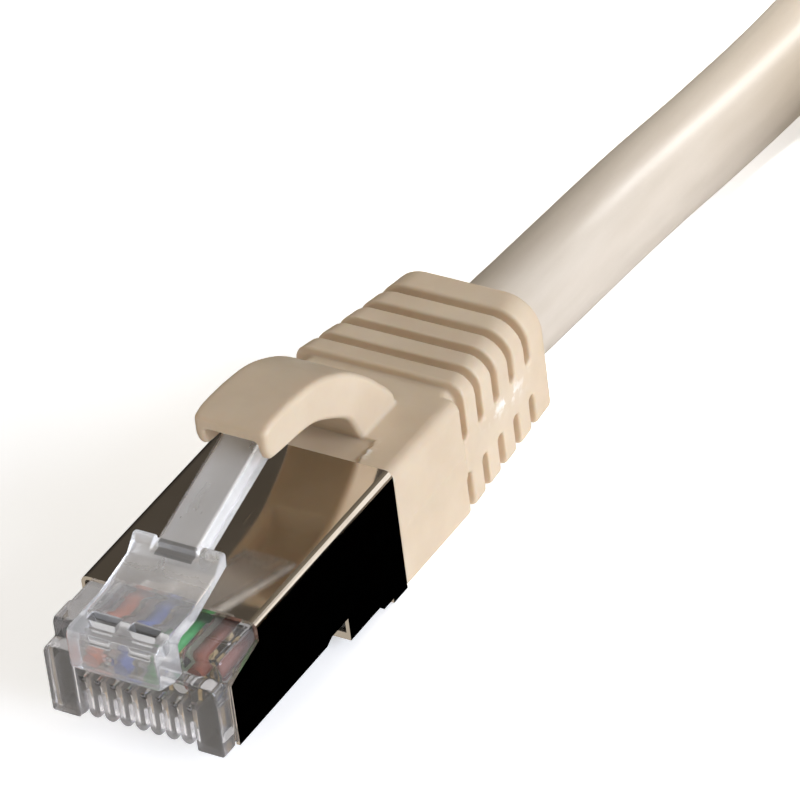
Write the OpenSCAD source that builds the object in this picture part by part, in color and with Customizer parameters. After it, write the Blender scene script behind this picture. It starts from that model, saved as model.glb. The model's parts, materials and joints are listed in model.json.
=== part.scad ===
// Shielded ethernet patch cable: two crimped 8-contact plugs with moulded,
// hooded strain relief boots, and one metre of round cable put away in a coil.
// Millimetres, +Z up. Each plug's nose points to -Y, its latch is on top, and
// contact 1 is on the -X side. The origin is on the floor under the middle of
// the near plug with its boot.

/* [Plug housing] */
// Width of the plug over its shield
plug_w = 11.7; // [11.5:0.05:11.8]
// Height of the shield's flat top above the underside of the boot
plug_top_z = 8.36; // [8.3:0.02:8.4]
// Height of the front underside, where the contacts are
nose_bottom_z = 2.0; // [1.9:0.05:2.1]
// Length of the latch root block in front of the flange
root_block_proud = 1.3; // [1.1:0.1:1.4]
// Width of the latch and of its root block
latch_w = 6.0; // [5.8:0.1:6.0]
// Thickness of the shield's sheet metal
shield_t = 0.25; // [0.2:0.01:0.28]

/* [Contacts and wires] */
// Distance between neighbouring contacts
contact_pitch = 1.02; // [1.0:0.01:1.04]
// Thickness of a contact blade
blade_t = 0.35; // [0.3:0.01:0.4]
// Diameter of an insulated wire
wire_d = 1.0; // [0.9:0.02:1.0]
// Height of the lower row of wires
wire_low_z = 5.4; // [5.35:0.01:5.45]
// Height of the upper row of wires
wire_high_z = 6.4; // [6.38:0.01:6.45]

/* [Boot] */
// Length of the plain collar behind the shield
collar_l = 7.25; // [7.2:0.05:7.25]
// Length of the ribbed part behind the collar
ribs_l = 11.4; // [11.2:0.1:11.6]
// Depth of the rib grooves over the top and sides
groove_depth = 0.5; // [0.3:0.05:0.6]
// Depth of the rib grooves underneath
low_groove_depth = 0.35; // [0.2:0.05:0.35]
// Width of a rib groove
groove_w = 0.7; // [0.6:0.05:0.8]
// Distance between rib grooves
groove_pitch = 2.1; // [2.05:0.05:2.1]
// Width of the hood over the latch
hood_w = 4.9; // [4.8:0.05:4.9]
// Width of the channel between the hood's lips
hood_channel_w = 3.6; // [3.55:0.05:3.7]

/* [Cable] */
// Diameter of the cable's jacket
cable_d = 6.2; // [6.0:0.05:6.2]
// Height of the cable's middle in the shield's neck
cable_axis_z = 3.8; // [3.8:0.05:3.85]
// Width of the band that ties the coil
tie_w = 6; // [4:0.5:10]
// Thickness of the tie
tie_t = 0.6; // [0.5:0.05:0.6]

/* [Hidden] */
$fn = 48;

// Places of the two plugs: the middle of each nose, on the floor.
// All shapes of a plug are drawn from here, with y growing towards the cable.
near_at = [0, -19.85, 0];
far_at = [82.4, 7.3, 0];

// Stations along a plug
flange_y = root_block_proud;
flange_back_y = 2.05;
shoulder_y = [2.3, 5.9];
shield_y = [2.7, 21.0];
step_y = 14.7;
nub_y = [18.2, 19.45];
collar_y = 21.05;
ribs_y = collar_y + collar_l;
boot_end_y = ribs_y + ribs_l;
neck_end_y = 23.6;
jacket_start_y = 20.75;

// Heights and half widths
half_w = plug_w / 2;
body_half_w = half_w - shield_t - 0.02;
housing_top_z = 8.08;
shoulder_top_z = 8.2;
flange_top_z = 6.75;
recess_floor_z = 7.3;
step_z = 0.7;
collar_top_z = 8.2;
platform_z = 8.0;
latch_half = latch_w / 2;

// Inside the housing
bar_y = [9.05, 15.9];
bar_half_w = 4.3;
bar_z = [4.6, 7.15];
bar_play = 0.05;
channel_r = wire_d / 2 + 0.04;
slot_w = blade_t + 0.1;
wire_tip_y = 3.2;

// Hinges: the latch bends at its root block, the hood at its root on the collar
latch_axis = [2.4, 9.2];
knuckle_r = 0.42;
knuckle_play = 0.04;
hood_axis = [25.5, 10.2];
hood_root_r = 2.95;
hood_root_play = 0.05;

// The cable leans to one side and down on its way through the soft boot
cable_r = cable_d / 2;
lean = [0.64, boot_end_y - neck_end_y, -0.2];

// Route of the cable, then of its tail into the far plug, laid on the floor
route_lead = [
    [0, 0.9, 3.8], [0, 3.75, 3.8], [0.32, 11.8, 3.7], [0.64, 19.85, 3.6], [0.78, 24.5, 3.35], [0.96, 29.5, 3.15],
    [1.55, 37.5, 3.1], [2.5, 46, 3.1], [3.2, 55, 3.15], [3.6, 66, 3.6], [3.7, 76.5, 3.8]
];
route_tail = [
    [82.3, 76.5, 10.1], [82.4, 70, 9.3], [82.5, 64, 7.3], [82.7, 58, 5.2], [82.9, 52, 4.0],
    [83.04, 47, 3.6], [82.72, 38.95, 3.7], [82.4, 30.9, 3.8], [82.4, 28.05, 3.8]
];
coil_at = [42.2, 76.5, 0];
coil_r = [22.6, 43.2];
coil_z = [tie_t + 0.1, 13.3];
coil_corner = 2.4;

// ---------------------------------------------------------------- helpers

function unit(v) = v / norm(v);

// Two ends of a span of the given width about a middle
function about(middle, width) = [middle - width / 2, middle + width / 2];

// Points of an arc in a plane, from angle a0 to a1 in n steps
function arc(at, r, a0, a1, n) = [for (i = [0:n]) at + r * [cos(a0 + (a1 - a0) * i / n), sin(a0 + (a1 - a0) * i / n)]];

// Outline of a tube section that is round at its corners: half width, bottom, top, radius
function round_box(w, z0, z1, r_low, r_high) = concat(
    arc([w - r_high, z1 - r_high], r_high, 0, 90, 6),
    arc([-w + r_high, z1 - r_high], r_high, 90, 180, 6),
    arc([-w + r_low, z0 + r_low], r_low, 180, 270, 6),
    arc([w - r_low, z0 + r_low], r_low, 270, 360, 6)
);

// A box between two corners
module block(x, y, z) {
    translate([x[0], y[0], z[0]]) cube([x[1] - x[0], y[1] - y[0], z[1] - z[0]]);
}

// A side outline of (y, z) points, as wide as x
module side_plate(x, points) {
    translate([x[0], 0, 0]) rotate([90, 0, 90]) linear_extrude(x[1] - x[0]) polygon(points);
}

// A front outline of (x, z) points, as long as y
module front_bar(y, points) {
    translate([0, y[1], 0]) rotate([90, 0, 0]) linear_extrude(y[1] - y[0]) polygon(points);
}

// A rod along X through (y, z)
module cross_rod(x, at, r) {
    translate([x[0], at[0], at[1]]) rotate([0, 90, 0]) cylinder(h = x[1] - x[0], r = r);
}

// A rod along Y through (x, z)
module long_rod(y, at, r) {
    translate([at[0], y[0], at[1]]) rotate([-90, 0, 0]) cylinder(h = y[1] - y[0], r = r);
}

// Direction of a route at point i
function heading(route, i) =
    unit(route[min(i + 1, len(route) - 1)] - route[max(i - 1, 0)]);

// Ring of points square to the route at point i
function ring(route, i, r, sides) =
    let (t = heading(route, i), a = unit(cross([0, 0, 1], t)), b = cross(t, a))
    [for (k = [0:sides - 1]) route[i] + r * (a * cos(360 * (k + 0.5) / sides) + b * sin(360 * (k + 0.5) / sides))];

// A closed tube swept along a route
module swept_tube(route, r, sides) {
    rings = len(route);
    points = [for (i = [0:rings - 1]) each ring(route, i, r, sides)];
    walls = [
        for (i = [0:rings - 2], k = [0:sides - 1])
            let (m = (k + 1) % sides)
            each [
                [i * sides + k, (i + 1) * sides + k, i * sides + m],
                [i * sides + m, (i + 1) * sides + k, (i + 1) * sides + m]
            ]
    ];
    start = [for (k = [0:sides - 1]) k];
    end = [for (k = [sides - 1:-1:0]) (rings - 1) * sides + k];
    polyhedron(points, concat(walls, [start, end]), convexity = 6);
}

// ---------------------------------------------------------------- plug parts

// Middle of contact n across the plug
function contact_x(n) = (n - 4.5) * contact_pitch;

// Odd wires lie in the lower row and even ones in the upper row
function wire_z(n) = n % 2 == 1 ? wire_low_z : wire_high_z;

// Where wire n meets the end of the jacket: on a ring round the cable's middle
ring_angles = [202.5, 157.5, 247.5, 112.5, 292.5, 67.5, 337.5, 22.5];
function wire_end(n, y) = [
    1.85 * cos(ring_angles[n - 1]), y, cable_axis_z + 1.85 * sin(ring_angles[n - 1])
];

module housing_shape() {
    difference() {
        union() {
            // Body inside the shield, stepped underneath as the shield is
            intersection() {
                side_plate([-body_half_w, body_half_w], [
                    [flange_back_y, nose_bottom_z], [step_y + 0.3, nose_bottom_z],
                    [step_y + 0.3, step_z + 0.3], [20.7, step_z + 0.3], [20.7, housing_top_z],
                    [shoulder_y[0], housing_top_z], [flange_back_y, flange_top_z]
                ]);
                front_bar([0, 21], round_box(body_half_w, 0, housing_top_z, 0.1, 0.4));
            }
            // Flange across the front
            front_bar([flange_y, 2.6], concat(
                [[-half_w + 0.05, nose_bottom_z], [half_w - 0.05, nose_bottom_z]],
                arc([half_w - 0.65, flange_top_z - 0.6], 0.6, 0, 90, 5),
                arc([-half_w + 0.65, flange_top_z - 0.6], 0.6, 90, 180, 5)
            ));
            // Shoulders beside the latch
            front_bar(shoulder_y, concat(
                [[-body_half_w, 6], [body_half_w, 6]],
                arc([body_half_w - 0.5, shoulder_top_z - 0.5], 0.5, 0, 90, 5),
                arc([-body_half_w + 0.5, shoulder_top_z - 0.5], 0.5, 90, 180, 5)
            ));
            // Root block of the latch, rounded along its top front edge
            side_plate([-latch_half, latch_half], concat(
                [[2.31, 6.5], [2.31, 9.65]], arc([0.5, 9.15], 0.5, 90, 180, 5), [[0, 6.9], [1.35, 6.5]]
            ));
        }
        // Recess that the latch bends down into
        block([-latch_half - 0.05, latch_half + 0.05], [2.32, 6], [recess_floor_z, 12]);
        // Seat of the latch's knuckle
        cross_rod([-latch_half - 1, latch_half + 1], latch_axis, knuckle_r + knuckle_play);
        // Two pockets in the top of the root block
        for (side = [-1, 1])
            translate([side * 1.335, 1.265, 9.65]) cube([1.87, 0.87, 3], center = true);
        // Comb front: the slots that the jack's contacts enter, open below
        for (n = [1:8]) {
            block(about(contact_x(n), slot_w), [flange_y - 1, 7.6], [nose_bottom_z - 1, 4.4]);
            long_rod([wire_tip_y - 0.3, bar_y[0] + 0.1], [contact_x(n), wire_z(n)], channel_r);
            block(about(contact_x(n), slot_w), [3.3, 7.6], [4.3, wire_z(n)]);
        }
        // Space for the load bar, then for the wires that spread from the jacket
        block(
            (bar_half_w + bar_play) * [-1, 1], [bar_y[0] - bar_play, 16.1],
            [bar_z[0] - bar_play, bar_z[1] + bar_play]
        );
        block([-4.5, 4.5], [15.95, 21], [1.5, 7.4]);
    }
}

module latch_shape() {
    difference() {
        union() {
            // Knuckle at the root and the flat plate that rises to the stop face
            cross_rod([-latch_half, latch_half], latch_axis, knuckle_r);
            side_plate([-latch_half, latch_half], [
                [2.45, 8.8], [4.1, 8.8], [5.2, 9.16], [7.9, 10.1], [7.95, 10.9], [7.8, 11.1],
                [7.0, 10.2], [3.6, 9.63], [2.45, 9.62]
            ]);
            // Narrow tab that the hood presses, bevelled along both edges
            side_plate([-1.65, 1.65], [
                [7.5, 10.0], [16.2, 12.65], [16.3, 13.2], [14.8, 12.9], [7.75, 10.75]
            ]);
            side_plate([-1.3, 1.3], [
                [7.4, 10.2], [16.2, 12.9], [16.25, 13.5], [14.8, 13.2], [7.7, 11.0]
            ]);
        }
        // Relief between the two stop faces
        block([-1.3, 1.3], [6.9, 7.7], [11.0, 12]);
    }
}

module shield_shape() {
    difference() {
        intersection() {
            front_bar(shield_y, concat(
                [[-half_w, 0], [half_w, 0]],
                arc([half_w - 0.5, plug_top_z - 0.5], 0.5, 0, 90, 6),
                arc([-half_w + 0.5, plug_top_z - 0.5], 0.5, 90, 180, 6)
            ));
            // Side outline: raked front edge, stepped underside
            side_plate([-half_w - 1, half_w + 1], [
                [shield_y[0], nose_bottom_z], [12.3, nose_bottom_z], [12.9, nose_bottom_z + 0.3],
                [step_y, nose_bottom_z + 0.3], [step_y, step_z], [nub_y[0], step_z],
                [nub_y[0] + 0.2, 0.3], [nub_y[1], 0.3], [nub_y[1], 0], [shield_y[1], 0],
                [shield_y[1], 9], [5.9, 9], [5.9, 7.1], [3.2, 6.4], [shield_y[0], 6.2]
            ]);
        }
        // Inside, open in front and underneath as far as the step
        front_bar([1, 20.75], concat(
            [[-half_w + shield_t, 1.2], [half_w - shield_t, 1.2]],
            arc([half_w - 0.5, plug_top_z - 0.5], 0.5 - shield_t, 0, 90, 6),
            arc([-half_w + 0.5, plug_top_z - 0.5], 0.5 - shield_t, 90, 180, 6)
        ));
        block((half_w - shield_t) * [-1, 1], [1, step_y], [-1, 3]);
        block((half_w - shield_t) * [-1, 1], [step_y + shield_t, 20.75], [step_z + shield_t, 3]);
        long_rod([20, 22], [0, cable_axis_z], cable_r + 0.03);
    }
    // Neck crimped round the jacket
    difference() {
        long_rod([20.8, neck_end_y], [0, cable_axis_z], cable_r + 0.03 + shield_t);
        long_rod([20, neck_end_y + 1], [0, cable_axis_z], cable_r + 0.03);
    }
}

module load_bar_shape() {
    difference() {
        block(bar_half_w * [-1, 1], bar_y, bar_z);
        for (n = [1:8])
            long_rod([bar_y[0] - 1, bar_y[1] + 1], [contact_x(n), wire_z(n)], channel_r);
        // Stepped back edge above the upper row
        block([-5, 5], [bar_y[1] - 1.5, bar_y[1] + 1], [bar_z[1] - 0.15, bar_z[1] + 1]);
    }
}

// Blade n: its rounded lower edge touches the jack, its two prongs pierce wire n
module contact_shape(n) {
    tip_z = wire_z(n) + 0.35;
    side_plate(about(contact_x(n), blade_t), concat(
        arc([2.2, 2.9], 0.5, 180, 270, 5), [[7.3, 2.4], [7.3, 4.2], [6.6, 4.4]],
        [[6.6, tip_z - 0.5], [6.3, tip_z], [5.9, tip_z - 0.5], [5.9, 4.6]],
        [[4.9, 4.6], [4.9, tip_z - 0.5], [4.6, tip_z], [4.2, tip_z - 0.5], [4.2, 4.4]],
        [[3.4, 4.25], [1.7, 4.1]]
    ));
}

// Wire n: straight through the housing and the load bar, then in to the jacket
module wire_shape(n) {
    x = contact_x(n);
    z = wire_z(n);
    swept_tube(
        [[x, wire_tip_y, z], [x, 9, z], [x, 16.2, z], wire_end(n, 20.2), wire_end(n, jacket_start_y)],
        wire_d / 2, 8
    );
}

// Height of the ribs, falling towards the cable: s runs from 0 to 1
function rib_top(s) = 8.8 - 1.3 * s + 0.4 * pow(s, 3);

module boot_shape() {
    difference() {
        union() {
            // Collar, with the lowered platform and the hood's seat on its top
            front_bar([collar_y, ribs_y + 0.1], round_box(half_w, 0, collar_top_z, 0.4, 0.8));
            // Ribbed part, one slab to a rib, each a little smaller than the last
            for (i = [0:5]) {
                y0 = ribs_y + i * groove_pitch - (i == 0 ? 0 : 1.0);
                y1 = i == 5 ? boot_end_y : ribs_y + (i + 1) * groove_pitch - 1.0;
                s = i / 5;
                front_bar([y0, y1], round_box(half_w - 0.85 * s, 0, rib_top(s), 0.5, 1.5 + 0.8 * s));
            }
        }
        // The collar's flat top runs on to the first rib
        block([-9, 9], [ribs_y, ribs_y + 0.7 + groove_w / 2], [collar_top_z, 10]);
        // Grooves over the top and sides, then grooves underneath
        for (i = [0:4]) {
            s = i / 5;
            y = ribs_y + 0.7 + i * groove_pitch;
            difference() {
                block([-9, 9], [y - groove_w / 2, y + groove_w / 2], [5.1 - 0.4 * s, 10]);
                front_bar([y - 1, y + 1], round_box(
                    half_w - 0.85 * s - groove_depth, 0, rib_top(s) - groove_depth, 0.5, 1.1 + 0.8 * s
                ));
            }
            difference() {
                block([-9, 9], [y - 0.1 - groove_w / 2, y - 0.1 + groove_w / 2], [-1, 2.7 - 0.3 * s]);
                front_bar([y - 1, y + 1], round_box(
                    half_w - 0.85 * s - groove_depth, low_groove_depth, 8, 0.6, 1.1
                ));
            }
        }
        block([-3.35, 3.35], [collar_y - 1, 23.4], [platform_z, 9]);
        // Seat of the hood's root
        cross_rod((hood_w / 2 + hood_root_play) * [-1, 1], hood_axis, hood_root_r + hood_root_play);
        // Room for the shield's neck, then the way out for the cable
        long_rod([collar_y - 1, neck_end_y + 0.1], [0, cable_axis_z], cable_r + 0.35);
        long_rod([collar_y, neck_end_y + 0.2], [0, cable_axis_z], cable_r + 0.05);
        translate([0, neck_end_y, cable_axis_z])
            rotate([-90 + atan(lean[2] / lean[1]), 0, -atan(lean[0] / lean[1])])
                cylinder(h = norm(lean) + 1, r = cable_r + 0.06);
    }
}

module boot_hood_shape() {
    half = hood_w / 2;
    difference() {
        union() {
            // Arched hood from its lip back to its root
            side_plate([-half, half], concat(
                [[14.3, 12.98], [14.0, 14.7], [14.2, 14.9], [15.3, 15.15], [17.8, 15.0]],
                [[20.2, 14.5], [22.8, 13.3], [25, 11.6], [26, 10.1], [26.6, 9.1], [27.9, 8.3]],
                arc(hood_axis, hood_root_r, -43, -155, 12),
                [[22.5, 9.96], [21.2, 11.0]],
                [[19.2, 12.1], [17.6, 12.48], [15.9, 12.66], [14.6, 12.82]]
            ));
        }
        // Channel between the lips, for the latch
        side_plate(hood_channel_w / 2 * [-1, 1], [
            [13, 14.1], [15.5, 14.2], [17.8, 14.05], [19.0, 13.6], [19.4, 12.9], [19.3, 11], [13, 11]
        ]);
    }
}

// ---------------------------------------------------------------- near plug

module near_housing() { color([0.82, 0.85, 0.86]) translate(near_at) housing_shape(); }
module near_latch() { color([0.88, 0.90, 0.91]) translate(near_at) latch_shape(); }
module near_shield() { color([0.70, 0.70, 0.70]) translate(near_at) shield_shape(); }
module near_load_bar() { color([0.75, 0.78, 0.80]) translate(near_at) load_bar_shape(); }
module near_contact(n) { color([0.85, 0.68, 0.30]) translate(near_at) contact_shape(n); }
module near_wire(n) { color(wire_colour(n)) translate(near_at) wire_shape(n); }
module near_boot() { color([0.88, 0.82, 0.72]) translate(near_at) boot_shape(); }
module near_boot_hood() { color([0.90, 0.84, 0.75]) translate(near_at) boot_hood_shape(); }

// ---------------------------------------------------------------- far plug

module far_housing() { color([0.82, 0.85, 0.86]) translate(far_at) housing_shape(); }
module far_latch() { color([0.88, 0.90, 0.91]) translate(far_at) latch_shape(); }
module far_shield() { color([0.70, 0.70, 0.70]) translate(far_at) shield_shape(); }
module far_load_bar() { color([0.75, 0.78, 0.80]) translate(far_at) load_bar_shape(); }
module far_contacts() {
    color([0.85, 0.68, 0.30]) translate(far_at)
        for (n = [1:8]) contact_shape(n);
}
module far_wire(n) { color(wire_colour(n)) translate(far_at) wire_shape(n); }
module far_boot() { color([0.88, 0.82, 0.72]) translate(far_at) boot_shape(); }
module far_boot_hood() { color([0.90, 0.84, 0.75]) translate(far_at) boot_hood_shape(); }

// Wires 1 to 8: white-orange, orange, white-green, blue, white-blue, green, white-brown, brown
function wire_colour(n) = [
    [0.95, 0.80, 0.65], [0.90, 0.45, 0.10], [0.75, 0.88, 0.75], [0.10, 0.25, 0.65],
    [0.75, 0.80, 0.92], [0.10, 0.50, 0.20], [0.85, 0.75, 0.68], [0.45, 0.22, 0.10]
][n - 1];

// ---------------------------------------------------------------- cable

module cable_lead() { color([0.78, 0.74, 0.67]) swept_tube(route_lead, cable_r, 12); }
module cable_tail() { color([0.78, 0.74, 0.67]) swept_tube(route_tail, cable_r, 12); }

// Outer shape of the four and a half turns, in two layers
module cable_coil() {
    color([0.78, 0.74, 0.67]) translate(coil_at) rotate_extrude($fn = 96)
        polygon(concat(
            arc([coil_r[1] - coil_corner, coil_z[1] - coil_corner], coil_corner, 0, 90, 5),
            arc([coil_r[0] + coil_corner, coil_z[1] - coil_corner], coil_corner, 90, 180, 5),
            arc([coil_r[0] + coil_corner, coil_z[0] + coil_corner], coil_corner, 180, 270, 5),
            arc([coil_r[1] - coil_corner, coil_z[0] + coil_corner], coil_corner, 270, 360, 5)
        ));
}

// Band round the coil's section, on the side away from the plugs
module coil_tie() {
    gap = 0.1;
    color([0.12, 0.12, 0.12]) translate(coil_at)
        difference() {
            block(
                tie_w / 2 * [-1, 1], [coil_r[0] - 0.5 - tie_t, coil_r[1] + gap + tie_t],
                [0, coil_z[1] + gap + tie_t]
            );
            block(
                tie_w * [-1, 1], [coil_r[0] - 0.5, coil_r[1] + gap],
                [coil_z[0] - gap, coil_z[1] + gap]
            );
        }
}

near_housing();
near_latch();
near_shield();
near_load_bar();
for (n = [1:8]) near_contact(n);
for (n = [1:8]) near_wire(n);
near_boot();
near_boot_hood();
cable_lead();
cable_coil();
cable_tail();
coil_tie();
far_housing();
far_latch();
far_shield();
far_load_bar();
far_contacts();
for (n = [1:8]) far_wire(n);
far_boot();
far_boot_hood();
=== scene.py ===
"""Looks of a shielded ethernet patch cable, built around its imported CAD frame.

Each plug is drawn once in millimetres, in the plug's own frame: y runs from the nose
towards the cable, z is up from the floor, and x is across. The same meshes are placed
at the near plug and at the far plug.
"""

import json
import math

import bpy
import numpy as np
from mathutils import Matrix, Vector

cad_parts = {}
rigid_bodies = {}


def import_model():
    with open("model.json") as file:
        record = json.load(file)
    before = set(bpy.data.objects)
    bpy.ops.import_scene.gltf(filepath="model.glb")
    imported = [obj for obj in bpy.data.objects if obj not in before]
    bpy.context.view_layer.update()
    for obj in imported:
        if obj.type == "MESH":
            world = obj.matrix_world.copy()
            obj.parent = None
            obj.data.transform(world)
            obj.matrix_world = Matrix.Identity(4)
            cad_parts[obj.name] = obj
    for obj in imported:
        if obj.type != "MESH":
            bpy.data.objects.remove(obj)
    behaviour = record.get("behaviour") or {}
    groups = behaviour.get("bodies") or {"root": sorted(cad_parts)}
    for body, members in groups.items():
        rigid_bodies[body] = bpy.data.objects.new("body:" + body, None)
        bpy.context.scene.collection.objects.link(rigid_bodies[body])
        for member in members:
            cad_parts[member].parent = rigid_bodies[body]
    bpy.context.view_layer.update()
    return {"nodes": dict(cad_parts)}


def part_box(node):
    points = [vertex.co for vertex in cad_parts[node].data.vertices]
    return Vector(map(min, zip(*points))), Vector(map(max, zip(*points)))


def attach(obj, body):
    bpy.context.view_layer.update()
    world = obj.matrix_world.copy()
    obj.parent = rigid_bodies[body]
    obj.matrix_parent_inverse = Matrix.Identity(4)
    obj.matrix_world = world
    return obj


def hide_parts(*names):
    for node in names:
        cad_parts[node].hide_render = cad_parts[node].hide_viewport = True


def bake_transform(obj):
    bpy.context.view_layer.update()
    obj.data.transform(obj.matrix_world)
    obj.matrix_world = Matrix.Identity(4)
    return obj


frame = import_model()

MM = 0.001
ROOT = "cable_and_plugs"

# Sizes of one plug, in millimetres: where the boot ends behind the nose, half the shielded width,
# the cable's middle above the floor, and how far it leans to one side and down through the boot
BOOT_END_Y = 39.7
HALF_W = 5.85
CABLE_Z = 3.8
LEAN_X, LEAN_Z = 0.64, -0.2


def nose_of(boot):
    """Place of a plug's nose, in millimetres, from its boot's box."""
    low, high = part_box(boot)
    return Vector(((low[0] + high[0]) / 2 / MM, high[1] / MM - BOOT_END_Y, 0.0))


PLUGS = {"near": nose_of("near_boot"), "far": nose_of("far_boot")}

# Stations along the cable, in millimetres, as in the CAD route
CABLE_R = 3.1
ROUTE_LEAD = [
    (0, 0.9, 3.8), (0, 3.75, 3.8), (0.32, 11.8, 3.7), (0.64, 19.85, 3.6), (0.78, 24.5, 3.35),
    (0.96, 29.5, 3.15), (1.55, 37.5, 3.1), (2.5, 46, 3.1), (3.2, 55, 3.15), (3.6, 66, 3.6),
]
ROUTE_TAIL = [
    (82.4, 70, 9.3), (82.5, 64, 7.3), (82.7, 58, 5.2), (82.9, 52, 4.0),
    (83.04, 47, 3.6), (82.72, 38.95, 3.7), (82.4, 30.9, 3.8), (82.4, 28.05, 3.8),
]
COIL_MIDDLE = (42.2, 76.5)
COIL_R = 38.5
COIL_PITCH = 6.4
COIL_Z = (3.8, 10.1)
TURN_STEP = 15


# ------------------------------------------------------------------ camera, floor and light

def make_camera():
    """Camera before the near plug, to its right and above it, on a long lens, tilted a little."""
    azimuth, elevation, roll = math.radians(34.71), math.radians(35.73), math.radians(-7.59)
    target = Vector((-0.71, 12.35, 4.0)) * MM
    distance = 0.4283
    across = math.cos(elevation)
    back = Vector((math.sin(azimuth) * across, -math.cos(azimuth) * across, math.sin(elevation)))
    right = (-back).cross(Vector((0, 0, 1))).normalized()
    up = right.cross(-back)
    cam_x = right * math.cos(roll) + up * math.sin(roll)
    cam_y = -right * math.sin(roll) + up * math.cos(roll)
    data = bpy.data.cameras.new("camera")
    data.sensor_width = 36.0
    data.lens = 327.3
    data.clip_start = 0.01
    data.clip_end = 20.0
    camera = bpy.data.objects.new("camera", data)
    bpy.context.scene.collection.objects.link(camera)
    place = Matrix((cam_x, cam_y, back)).transposed().to_4x4()
    place.translation = target + back * distance
    camera.matrix_world = place
    bpy.context.scene.camera = camera


def area_light(name, place, aim, size, power, colour=(1, 1, 1), size_y=None):
    """A soft box at place, facing aim; sizes in metres."""
    data = bpy.data.lights.new(name, "AREA")
    data.energy = power
    data.color = colour
    data.shape = "RECTANGLE"
    data.size = size
    data.size_y = size_y or size
    light = bpy.data.objects.new(name, data)
    bpy.context.scene.collection.objects.link(light)
    light.location = place
    light.visible_camera = False
    light.rotation_euler = (Vector(place) - Vector(aim)).to_track_quat("Z", "Y").to_euler()


def make_floor():
    """Pale plain floor. Bright metal sees the darker studio behind it, as on a light table."""
    mesh = bpy.data.meshes.new("floor")
    half, drop = 3.0, -0.03 * MM
    corners = [(-half, -half, drop), (half, -half, drop), (half, half, drop), (-half, half, drop)]
    mesh.from_pydata(corners, [], [(0, 1, 2, 3)])
    floor = bpy.data.objects.new("floor", mesh)
    bpy.context.scene.collection.objects.link(floor)
    material = bpy.data.materials.new("floor_paper")
    material.use_nodes = True
    shader = material.node_tree.nodes["Principled BSDF"]
    shader.inputs["Base Color"].default_value = (0.93, 0.93, 0.93, 1)
    shader.inputs["Roughness"].default_value = 0.9
    shader.inputs["Specular IOR Level"].default_value = 0.1
    shader.inputs["Emission Color"].default_value = (1, 1, 1, 1)
    shader.inputs["Emission Strength"].default_value = 0.5
    mesh.materials.append(material)
    floor.visible_glossy = False


def half_way(tree, source, factor):
    """A direction's part from -1..1 to 0..1; a negative factor turns it round."""
    node = tree.nodes.new("ShaderNodeMath")
    node.operation = "MULTIPLY_ADD"
    node.inputs[1].default_value = factor
    node.inputs[2].default_value = 0.5
    tree.links.new(source, node.inputs[0])
    return node.outputs[0]


def maths(tree, operation, source, value):
    """A maths node's result; value is a number or another node's output."""
    node = tree.nodes.new("ShaderNodeMath")
    node.operation = operation
    tree.links.new(source, node.inputs[0])
    if isinstance(value, float):
        node.inputs[1].default_value = value
    else:
        tree.links.new(value, node.inputs[1])
    return node.outputs[0]


def attribute(tree, name):
    """One of the mesh's own values at each point."""
    node = tree.nodes.new("ShaderNodeAttribute")
    node.attribute_name = name
    return node.outputs["Fac"]


def mix_colours(tree, blend, a, b):
    """Two linked colours, added or multiplied."""
    mix = tree.nodes.new("ShaderNodeMix")
    mix.data_type = "RGBA"
    mix.blend_type = blend
    mix.inputs[0].default_value = 1.0
    tree.links.new(a, mix.inputs[6])
    tree.links.new(b, mix.inputs[7])
    return mix.outputs[2]


def make_world():
    """Studio surroundings: dark warm grey at mid height, a pale table edge low in front, black low behind."""
    world = bpy.data.worlds.new("studio")
    bpy.context.scene.world = world
    world.use_nodes = True
    tree = world.node_tree
    background = tree.nodes["Background"]
    coords = tree.nodes.new("ShaderNodeTexCoord")
    split = tree.nodes.new("ShaderNodeSeparateXYZ")
    tree.links.new(coords.outputs["Generated"], split.inputs[0])
    height = half_way(tree, split.outputs["Z"], 0.5)
    upper = ramp_between(tree, height, [
        (0.50, (0.0, 0.0, 0.0)), (0.56, (0.05, 0.043, 0.035)), (0.78, (0.08, 0.072, 0.065)),
        (0.86, (0.23, 0.205, 0.17)), (0.92, (0.46, 0.43, 0.38)),
    ])
    lower = ramp_between(tree, height, [(0.56, (0.7, 0.66, 0.6)), (0.62, (0.0, 0.0, 0.0))])
    in_front = half_way(tree, split.outputs["Y"], -0.5)
    front = ramp_between(tree, in_front, [(0.60, (0, 0, 0)), (0.72, (1, 1, 1))])
    low = mix_colours(tree, "MULTIPLY", lower, front)
    tree.links.new(mix_colours(tree, "ADD", upper, low), background.inputs["Color"])
    background.inputs["Strength"].default_value = 1.0


# ------------------------------------------------------------------ mesh helpers

def add_mesh(name, points, faces, material, offset=(0, 0, 0), smooth_angle=None):
    """A mesh object from points in millimetres, moved by offset; smooth below the given angle."""
    mesh = bpy.data.meshes.new(name)
    points = (np.asarray(points, dtype=float) + np.asarray(offset, dtype=float)) * MM
    faces = np.asarray(faces) if len({len(f) for f in faces}) == 1 else faces
    if isinstance(faces, np.ndarray):
        mesh.vertices.add(len(points))
        mesh.vertices.foreach_set("co", points.astype(np.float32).ravel())
        sides = faces.shape[1]
        mesh.loops.add(faces.size)
        mesh.loops.foreach_set("vertex_index", faces.astype(np.int32).ravel())
        mesh.polygons.add(len(faces))
        mesh.polygons.foreach_set("loop_start", np.arange(0, faces.size, sides, dtype=np.int32))
        mesh.update(calc_edges=True)
        mesh.validate()
    else:
        mesh.from_pydata([tuple(p) for p in points], [], faces)
    mesh.shade_smooth()
    if smooth_angle is not None:
        mesh.set_sharp_from_angle(angle=math.radians(smooth_angle))
    mesh.materials.append(material)
    piece = bpy.data.objects.new(name, mesh)
    bpy.context.scene.collection.objects.link(piece)
    return piece


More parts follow.
